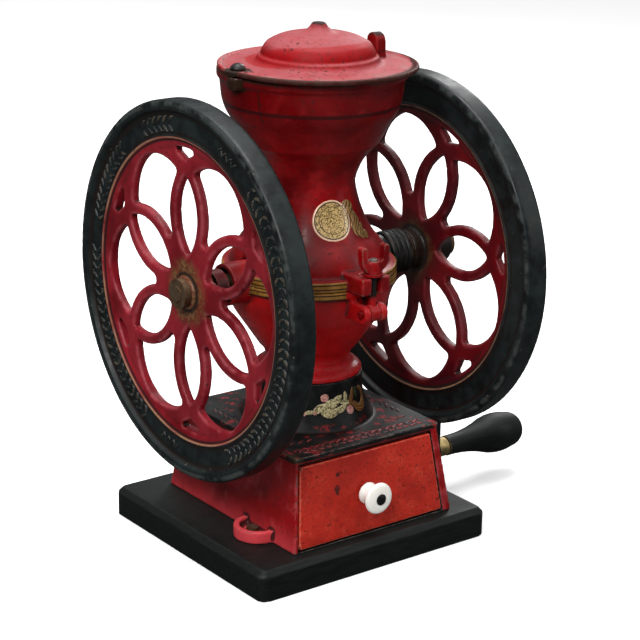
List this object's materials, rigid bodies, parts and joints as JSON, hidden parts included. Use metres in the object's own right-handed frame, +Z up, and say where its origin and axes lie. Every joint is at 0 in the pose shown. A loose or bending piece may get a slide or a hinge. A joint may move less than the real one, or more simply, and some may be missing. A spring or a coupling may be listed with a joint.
{
  "type": "coffee mill",
  "caption": "Cast-iron counter coffee mill with two petal-spoked flywheels, waisted hopper with a domed lid, drawer base and a turned crank grip.",
  "frame": {"origin": "on the underside of the plinth board, below the hopper's vertical axis", "axes": "+X along the main shaft towards the crank wheel, -Y towards the drawer and latch at the front, +Z up"},
  "size_m": [0.3237, 0.273, 0.3856],
  "materials": {
    "black_wood": "satin black paint over wood",
    "base_paint": "deep red enamel with a black top, worn",
    "red_paint": "crimson enamel on cast iron, worn",
    "wheel_paint": "black rim with crimson petals, worn",
    "black_paint": "black enamel, worn",
    "drawer_paint": "orange red enamel, pitted",
    "porcelain": "white glazed porcelain",
    "tin_plate": "dull tin plate",
    "worn_steel": "browned steel",
    "bare_iron": "bare cast iron",
    "bronze": "dull bronze",
    "brass": "dull brass",
    "grip_wood": "satin black turned wood"
  },
  "bodies": {
    "stand": {"plinth_board": "black_wood", "base_box": "base_paint", "base_screws": "worn_steel", "casing_screws": "worn_steel", "rear_hinge_pin": "red_paint", "lower_casing": "red_paint", "upper_casing": "red_paint", "latch_pin": "red_paint", "lid_pivot_screw": "black_paint", "left_bearing_bush": "bronze", "right_bearing_bush": "bronze", "stationary_burr": "bare_iron", "burr_screws": "worn_steel"},
    "swing_latch": {"swing_bolt": "red_paint"},
    "nut_carrier": {"latch_washer": "red_paint"},
    "wing": {"wing_nut": "red_paint"},
    "lid": {"hopper_lid": "red_paint"},
    "thrust": {"thrust_washer": "worn_steel"},
    "regulator": {"regulating_nut": "black_paint"},
    "drive": {"main_shaft": "worn_steel", "left_wheel": "wheel_paint", "crank_wheel": "wheel_paint", "left_wheel_nut": "worn_steel", "right_wheel_nut": "worn_steel", "left_shaft_collar": "red_paint", "rotary_burr": "bare_iron", "feed_auger": "bare_iron", "hub_set_screws": "worn_steel", "crank_spindle": "worn_steel", "spindle_nut": "worn_steel"},
    "grip": {"crank_grip": "grip_wood", "crank_ferrule": "brass"},
    "drawer": {"drawer_front": "drawer_paint", "drawer_tray": "tin_plate", "drawer_knob": "porcelain", "knob_screw": "worn_steel", "knob_nut": "worn_steel"}
  },
  "joints": [
    {"name": "drawer_slide", "type": "slide", "parent": "stand", "child": "drawer", "axis": [0, -1, 0], "range_m": [0, 0.125]},
    {"name": "lid_swing", "type": "hinge", "parent": "stand", "child": "lid", "pos_m": [-0.066, -0.002, 0.3533], "axis": [0, 0, 1], "range_deg": [-110, 130]},
    {"name": "latch_swing", "type": "hinge", "parent": "stand", "child": "swing_latch", "pos_m": [0, -0.075, 0.188], "axis": [1, 0, 0], "range_deg": [0, 150]},
    {"name": "wing_nut_lift", "type": "slide", "parent": "swing_latch", "child": "nut_carrier", "axis": [0, 0, 1], "range_m": [0, 0.0038]},
    {"name": "wing_nut_turn", "type": "hinge", "parent": "nut_carrier", "child": "wing", "pos_m": [0, -0.075, 0.22], "axis": [0, 0, 1], "range_deg": [0, 1080]},
    {"name": "burr_setting", "type": "slide", "parent": "stand", "child": "thrust", "axis": [1, 0, 0], "range_m": [0, 0.00187]},
    {"name": "regulating_nut_turn", "type": "hinge", "parent": "thrust", "child": "regulator", "pos_m": [0.085, 0, 0.2026], "axis": [1, 0, 0], "range_deg": [0, 540]},
    {"name": "drive_spin", "type": "hinge", "parent": "thrust", "child": "drive", "pos_m": [0, 0, 0.2026], "axis": [1, 0, 0], "continuous": true},
    {"name": "grip_spin", "type": "hinge", "parent": "drive", "child": "grip", "pos_m": [0.168, -0.01187, 0.03703], "axis": [1, 0, 0], "continuous": true}
  ],
  "couplings": [
    {"joint": "wing_nut_lift", "follows": "wing_nut_turn", "m_per_rad": 0.00019894},
    {"joint": "regulating_nut_turn", "follows": "burr_setting", "rad_per_m": 5026.5}
  ]
}
